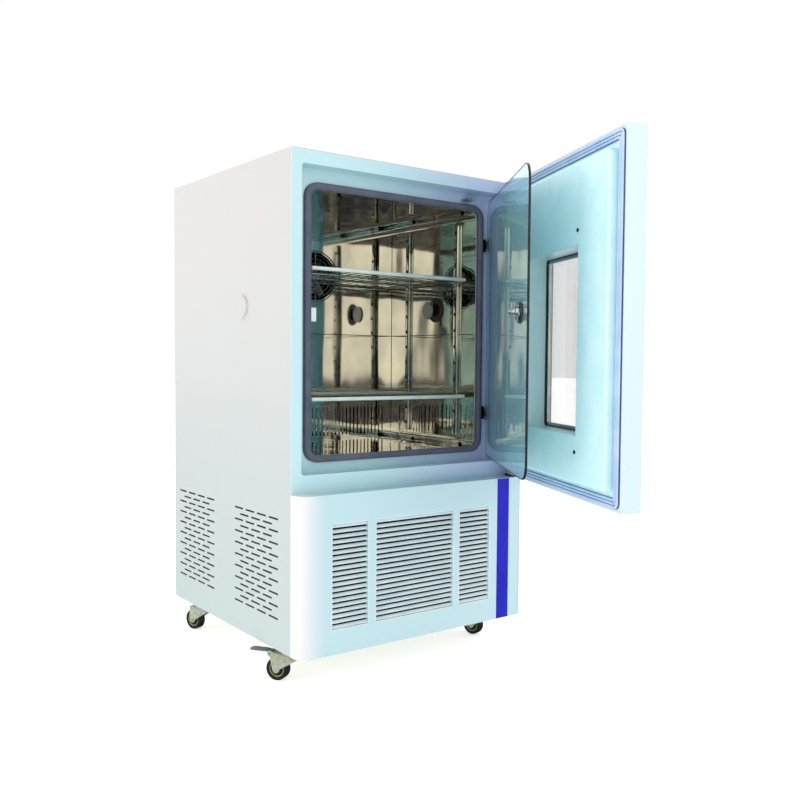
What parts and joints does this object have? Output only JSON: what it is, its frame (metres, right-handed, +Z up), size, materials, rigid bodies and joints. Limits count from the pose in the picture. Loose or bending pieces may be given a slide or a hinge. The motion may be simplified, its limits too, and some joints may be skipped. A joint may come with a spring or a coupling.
{
  "type": "humidity incubator",
  "caption": "Floor standing humidity incubator with a steel cabinet on casters, an insulated outer door with window, an inner glass door and a bright steel chamber with two shelves.",
  "frame": {"origin": "on the floor under the middle of the cabinet's footprint", "axes": "+X to the right of a person facing the front, +Y from the front to the back, +Z up"},
  "size_m": [0.7792, 1.4818, 1.3555],
  "materials": {
    "casing_paint": "powder coat, satin",
    "front_paint": "powder coat, satin",
    "door_paint": "powder coat, satin",
    "door_liner_plastic": "vacuum formed, satin",
    "mirror_steel": "mirror polished stainless",
    "duct_steel": "bright annealed stainless",
    "wire_steel": "electropolished wire",
    "chamber_rubber": "matt moulded rubber",
    "seal_rubber": "extruded magnetic seal",
    "glass_clear": "tempered float glass",
    "grille_plastic": "moulded, fine texture",
    "black_plastic": "moulded, fine texture",
    "white_plastic": "moulded",
    "grey_plastic": "moulded",
    "silicone": "soft silicone",
    "chrome_trim": "polished",
    "zinc": "zinc plated",
    "tyre_black": "hard rubber",
    "foam": "foamed in place",
    "compressor_black": "enamel",
    "coil_aluminium": "bare fins",
    "water_plastic": "translucent blow moulding"
  },
  "bodies": {
    "cabinet": {"left_side_panel": "casing_paint", "right_side_panel": "casing_paint", "top_panel": "casing_paint", "back_panel": "casing_paint", "base_pan": "zinc", "front_frame": "front_paint", "chamber_liner": "mirror_steel", "insulation": "foam", "chamber_gasket": "chamber_rubber", "air_duct_panel": "duct_steel", "fan_guard": "wire_steel", "fan_motor": "grey_plastic", "evaporator": "coil_aluminium", "heater": "wire_steel", "shelf_uprights": "duct_steel", "port_sleeve": "white_plastic", "humidity_inlet": "black_plastic", "humidity_probe": "wire_steel", "latch_strike": "white_plastic", "lower_front_panel": "front_paint", "louvre_grilles": "grille_plastic", "hinge_brackets": "chrome_trim", "caster_mounts": "zinc", "compressor": "compressor_black", "condenser": "coil_aluminium", "condenser_fan_motor": "grey_plastic", "humidifier": "duct_steel", "water_tank": "water_plastic", "rear_fittings": "black_plastic"},
    "outer_door": {"door_shell": "door_paint", "door_core": "foam", "door_inner_panel": "door_liner_plastic", "door_gasket": "seal_rubber", "window_panes": "glass_clear", "door_handle": "grey_plastic", "control_panel": "white_plastic"},
    "glass_door": {"glass_pane": "glass_clear", "glass_hinge_clips": "chrome_trim"},
    "circulation_fan": {"circulation_fan": "coil_aluminium"},
    "condenser_fan": {"condenser_fan": "black_plastic"},
    "shelf_upper": {"shelf_upper": "wire_steel"},
    "shelf_lower": {"shelf_lower": "wire_steel"},
    "port_plug": {"port_plug": "silicone"},
    "inlet_cover": {"inlet_cover": "wire_steel"},
    "door_switch_plunger": {"door_switch_plunger": "wire_steel"},
    "key_set": {"key_set": "grey_plastic"},
    "key_up": {"key_up": "grey_plastic"},
    "key_down": {"key_down": "grey_plastic"},
    "power_switch": {"power_switch": "black_plastic"},
    "latch_knob": {"latch_knob": "chrome_trim"},
    "caster_fork_front_left": {"caster_fork_front_left": "zinc"},
    "caster_wheel_front_left": {"caster_wheel_front_left": "tyre_black"},
    "brake_pedal_front_left": {"brake_pedal_front_left": "grey_plastic"},
    "caster_fork_rear_left": {"caster_fork_rear_left": "zinc"},
    "caster_wheel_rear_left": {"caster_wheel_rear_left": "tyre_black"},
    "caster_fork_front_right": {"caster_fork_front_right": "zinc"},
    "caster_wheel_front_right": {"caster_wheel_front_right": "tyre_black"},
    "brake_pedal_front_right": {"brake_pedal_front_right": "grey_plastic"},
    "caster_fork_rear_right": {"caster_fork_rear_right": "zinc"},
    "caster_wheel_rear_right": {"caster_wheel_rear_right": "tyre_black"}
  },
  "joints": [
    {"name": "outer_door_swing", "type": "hinge", "parent": "cabinet", "child": "outer_door", "pos_m": [0.35, -0.403, 0.498], "axis": [0, 0, 1], "range_deg": [-68.2, 36.8]},
    {"name": "glass_door_swing", "type": "hinge", "parent": "cabinet", "child": "glass_door", "pos_m": [0.287, -0.3398, 0.682], "axis": [0, 0, 1], "range_deg": [-58.6, 31.7]},
    {"name": "latch_turn", "type": "hinge", "parent": "glass_door", "child": "latch_knob", "pos_m": [0.00722, -0.79816, 0.949], "axis": [0.8536, -0.521, 0], "range_deg": [0, 90]},
    {"name": "upper_shelf_slide", "type": "slide", "parent": "cabinet", "child": "shelf_upper", "axis": [0, -1, 0], "range_m": [0, 0.085]},
    {"name": "lower_shelf_slide", "type": "slide", "parent": "cabinet", "child": "shelf_lower", "axis": [0, -1, 0], "range_m": [0, 0.085]},
    {"name": "port_plug_pull", "type": "slide", "parent": "cabinet", "child": "port_plug", "axis": [-1, 0, 0], "range_m": [0, 0.086]},
    {"name": "inlet_cover_swing", "type": "hinge", "parent": "cabinet", "child": "inlet_cover", "pos_m": [0.2539, -0.1135, 1.009], "axis": [-1, 0, 0], "range_deg": [0, 88.6]},
    {"name": "door_switch_travel", "type": "slide", "parent": "cabinet", "child": "door_switch_plunger", "axis": [0, 1, 0], "range_m": [0, 0.012], "stiffness_N_per_m": 150},
    {"name": "circulation_fan_spin", "type": "hinge", "parent": "cabinet", "child": "circulation_fan", "pos_m": [-0.029, 0.127, 1.09], "axis": [0, 1, 0], "continuous": true},
    {"name": "condenser_fan_spin", "type": "hinge", "parent": "cabinet", "child": "condenser_fan", "pos_m": [-0.0225, -0.291, 0.289], "axis": [0, 1, 0], "continuous": true},
    {"name": "power_switch_tilt", "type": "hinge", "parent": "outer_door", "child": "power_switch", "pos_m": [0.30748, -0.60355, 1.242], "axis": [0.3714, 0.9285, 0], "range_deg": [0, 11]},
    {"name": "key_set_travel", "type": "slide", "parent": "outer_door", "child": "key_set", "axis": [-0.9285, 0.3714, 0], "range_m": [0, 0.0015], "stiffness_N_per_m": 400},
    {"name": "key_down_travel", "type": "slide", "parent": "outer_door", "child": "key_down", "axis": [-0.9285, 0.3714, 0], "range_m": [0, 0.0015], "stiffness_N_per_m": 400},
    {"name": "key_up_travel", "type": "slide", "parent": "outer_door", "child": "key_up", "axis": [-0.9285, 0.3714, 0], "range_m": [0, 0.0015], "stiffness_N_per_m": 400},
    {"name": "swivel_front_left", "type": "hinge", "parent": "cabinet", "child": "caster_fork_front_left", "pos_m": [-0.326, -0.291, 0.07], "axis": [0, 0, 1], "continuous": true},
    {"name": "roll_front_left", "type": "hinge", "parent": "caster_fork_front_left", "child": "caster_wheel_front_left", "pos_m": [-0.34452, -0.26249, 0.03], "axis": [0.8387, 0.5446, 0], "continuous": true},
    {"name": "brake_front_left", "type": "hinge", "parent": "caster_fork_front_left", "child": "brake_pedal_front_left", "pos_m": [-0.35432, -0.24739, 0.07], "axis": [-0.8387, -0.5446, 0], "range_deg": [0, 12]},
    {"name": "swivel_rear_left", "type": "hinge", "parent": "cabinet", "child": "caster_fork_rear_left", "pos_m": [-0.326, 0.265, 0.07], "axis": [0, 0, 1], "continuous": true},
    {"name": "roll_rear_left", "type": "hinge", "parent": "caster_fork_rear_left", "child": "caster_wheel_rear_left", "pos_m": [-0.33763, 0.29695, 0.03], "axis": [0.9397, 0.342, 0], "continuous": true},
    {"name": "swivel_front_right", "type": "hinge", "parent": "cabinet", "child": "caster_fork_front_right", "pos_m": [0.326, -0.291, 0.07], "axis": [0, 0, 1], "continuous": true},
    {"name": "roll_front_right", "type": "hinge", "parent": "caster_fork_front_right", "child": "caster_wheel_front_right", "pos_m": [0.3172, -0.25816, 0.03], "axis": [0.9659, 0.2588, 0], "continuous": true},
    {"name": "brake_front_right", "type": "hinge", "parent": "caster_fork_front_right", "child": "brake_pedal_front_right", "pos_m": [0.31254, -0.24077, 0.07], "axis": [-0.9659, -0.2588, 0], "range_deg": [0, 12]},
    {"name": "swivel_rear_right", "type": "hinge", "parent": "cabinet", "child": "caster_fork_rear_right", "pos_m": [0.326, 0.265, 0.07], "axis": [0, 0, 1], "continuous": true},
    {"name": "roll_rear_right", "type": "hinge", "parent": "caster_fork_rear_right", "child": "caster_wheel_rear_right", "pos_m": [0.31437, 0.29695, 0.03], "axis": [0.9397, 0.342, 0], "continuous": true}
  ],
  "couplings": [
    {"joint": "glass_door_swing", "follows": "outer_door_swing", "ratio": 0.859}
  ]
}
